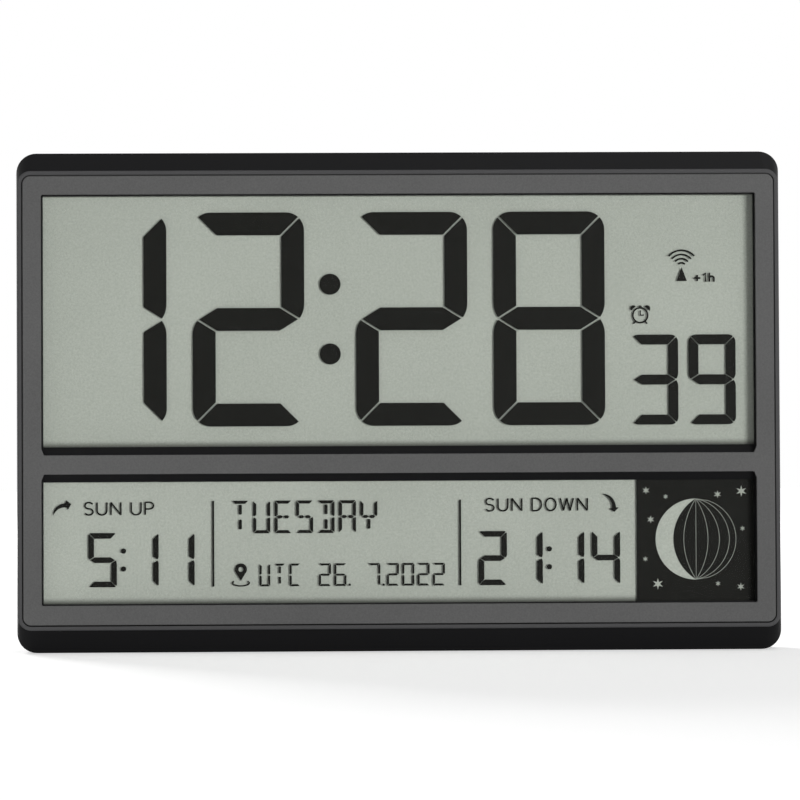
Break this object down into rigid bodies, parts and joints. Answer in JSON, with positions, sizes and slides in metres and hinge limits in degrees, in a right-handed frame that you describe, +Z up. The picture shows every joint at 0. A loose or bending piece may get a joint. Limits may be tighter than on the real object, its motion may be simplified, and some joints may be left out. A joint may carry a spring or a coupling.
{
  "type": "radio-controlled digital clock",
  "caption": "Large flat liquid-crystal clock with a grey bezel, time and calendar windows, battery bay, fold-out stand and wall keyholes.",
  "frame": {"origin": "middle of the bottom of the bounding box, under the upright clock", "axes": "+X across the display to the viewer's right, +Y from the display to the back, +Z up"},
  "size_m": [0.368, 0.03, 0.2405],
  "materials": {
    "bezel_plastic": "fine matt grain, mid grey",
    "case_plastic": "fine spark-eroded black",
    "foam": "black cut foam",
    "display_glass": "clear, matt polariser on the front",
    "reflector_film": "grey-green transflective film",
    "display_ink": "near black",
    "carrier_plastic": "moulded black",
    "screw_steel": "zinc plated",
    "strip_rubber": "silicone with carbon layers",
    "board_laminate": "green solder mask",
    "resin": "black resin drop",
    "can_metal": "drawn can",
    "capacitor_sleeve": "shrunk sleeve",
    "switch_plastic": "moulded black",
    "button_plastic": "moulded dark grey",
    "cell_jacket": "printed jacket, plain",
    "contact_metal": "nickel plated spring strip",
    "pad_rubber": "soft black",
    "ferrite": "pressed and ground",
    "coil_wire": "enamelled copper wire",
    "buzzer_brass": "thin sheet"
  },
  "bodies": {
    "case": {"front_bezel": "bezel_plastic", "front_shell": "case_plastic", "rear_shell": "case_plastic", "display_gaskets": "foam", "time_front_glass": "display_glass", "time_rear_glass": "display_glass", "info_front_glass": "display_glass", "info_rear_glass": "display_glass", "time_reflector": "reflector_film", "info_reflector": "reflector_film", "time_segments": "display_ink", "info_segments": "display_ink", "moon_mask": "display_ink", "display_carrier": "carrier_plastic", "antenna_clips": "carrier_plastic", "carrier_screws": "screw_steel", "board_screws": "screw_steel", "case_screws": "screw_steel", "stand_pin": "screw_steel", "contact_strips": "strip_rubber", "main_board": "board_laminate", "receiver_board": "board_laminate", "controller_chip": "resin", "tuning_crystal": "can_metal", "capacitors": "capacitor_sleeve", "tact_switches": "switch_plastic", "alarm_switch_body": "switch_plastic", "lower_cell": "cell_jacket", "middle_cell": "cell_jacket", "upper_cell": "cell_jacket", "negative_contacts": "contact_metal", "positive_contacts": "contact_metal", "antenna_rod": "ferrite", "antenna_coil": "coil_wire", "buzzer_disc": "buzzer_brass"},
    "stand": {"stand": "case_plastic", "stand_pad": "pad_rubber"},
    "cover": {"battery_cover": "case_plastic"},
    "alarm_switch": {"alarm_switch_knob": "button_plastic"},
    "set_key": {"set_button": "button_plastic", "set_plunger": "switch_plastic"},
    "up_key": {"up_button": "button_plastic", "up_plunger": "switch_plastic"},
    "down_key": {"down_button": "button_plastic", "down_plunger": "switch_plastic"},
    "alarm_key": {"alarm_button": "button_plastic", "alarm_plunger": "switch_plastic"},
    "signal_key": {"signal_button": "button_plastic", "signal_plunger": "switch_plastic"},
    "zone_key": {"zone_button": "button_plastic", "zone_plunger": "switch_plastic"}
  },
  "joints": [
    {"name": "stand_fold", "type": "hinge", "parent": "case", "child": "stand", "pos_m": [0, 0.0117, 0.106], "axis": [1, 0, 0], "range_deg": [0, 30]},
    {"name": "cover_lift", "type": "slide", "parent": "case", "child": "cover", "axis": [0, 1, 0], "range_m": [0, 0.025]},
    {"name": "alarm_switch_slide", "type": "slide", "parent": "case", "child": "alarm_switch", "axis": [1, 0, 0], "range_m": [0, 0.004]},
    {"name": "set_press", "type": "slide", "parent": "case", "child": "set_key", "axis": [0, -1, 0], "range_m": [0, 0.0008], "stiffness_N_per_m": 800},
    {"name": "up_press", "type": "slide", "parent": "case", "child": "up_key", "axis": [0, -1, 0], "range_m": [0, 0.0008], "stiffness_N_per_m": 800},
    {"name": "down_press", "type": "slide", "parent": "case", "child": "down_key", "axis": [0, -1, 0], "range_m": [0, 0.0008], "stiffness_N_per_m": 800},
    {"name": "alarm_press", "type": "slide", "parent": "case", "child": "alarm_key", "axis": [0, -1, 0], "range_m": [0, 0.0008], "stiffness_N_per_m": 800},
    {"name": "signal_press", "type": "slide", "parent": "case", "child": "signal_key", "axis": [0, -1, 0], "range_m": [0, 0.0008], "stiffness_N_per_m": 800},
    {"name": "zone_press", "type": "slide", "parent": "case", "child": "zone_key", "axis": [0, -1, 0], "range_m": [0, 0.0008], "stiffness_N_per_m": 800}
  ]
}
